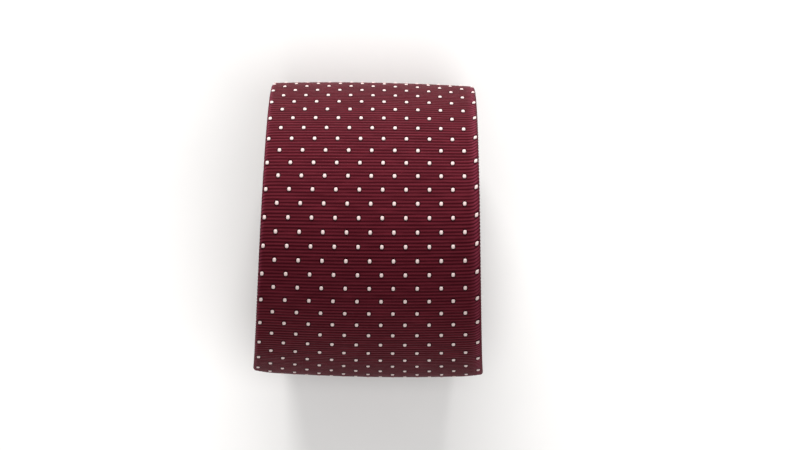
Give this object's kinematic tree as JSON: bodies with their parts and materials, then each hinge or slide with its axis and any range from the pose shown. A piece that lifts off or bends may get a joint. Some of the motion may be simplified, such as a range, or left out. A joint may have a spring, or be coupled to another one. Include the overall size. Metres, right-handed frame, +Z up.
{
  "type": "rolled necktie",
  "caption": "Dotted silk necktie wound into a roll, tail inside and blade outside, with lined ends that lift off the roll.",
  "frame": {"origin": "on the table under the roll, at the middle of the tie's width, on the flat that the outer turn rests on", "axes": "+X across the tie, along the roll's axis; +Y from the front, where the blade's point lies, to the back; +Z up"},
  "size_m": [0.0764, 0.0981, 0.0882],
  "materials": {
    "silk": "ribbed burgundy silk with woven ivory dots, soft sheen",
    "wool": "brushed wool interlining, matt",
    "lining": "smooth burgundy lining silk",
    "thread": "burgundy sewing silk",
    "ivory_thread": "ivory cotton thread",
    "label": "navy satin, woven, plain",
    "care_label": "white satin, plain"
  },
  "bodies": {
    "roll": {"blade_shell": "silk", "neck_shell": "silk", "tail_shell": "silk", "blade_neck_seam": "thread", "neck_tail_seam": "thread", "blade_interlining": "wool", "tail_interlining": "wool", "slip_stitch": "thread", "keeper_loop": "silk", "keeper_stitch_left": "ivory_thread", "keeper_stitch_right": "ivory_thread", "brand_label": "label", "label_stitch_left": "ivory_thread", "label_stitch_right": "ivory_thread", "care_label": "care_label", "care_label_stitch": "thread"},
    "blade_end": {"blade_end_shell": "silk", "blade_end_interlining": "wool", "blade_tipping": "lining", "blade_bar_tack": "thread"},
    "tail_end": {"tail_end_shell": "silk", "tail_end_interlining": "wool", "tail_tipping": "lining", "tail_bar_tack": "thread"}
  },
  "joints": [
    {"name": "blade_lift", "type": "hinge", "parent": "roll", "child": "blade_end", "pos_m": [0, -0.01148, 0.08705], "axis": [-1, 0, 0], "range_deg": [0, 75]},
    {"name": "tail_lift", "type": "hinge", "parent": "roll", "child": "tail_end", "pos_m": [0, -0.00222, 0.0262], "axis": [-1, 0, 0], "range_deg": [0, 25]}
  ]
}
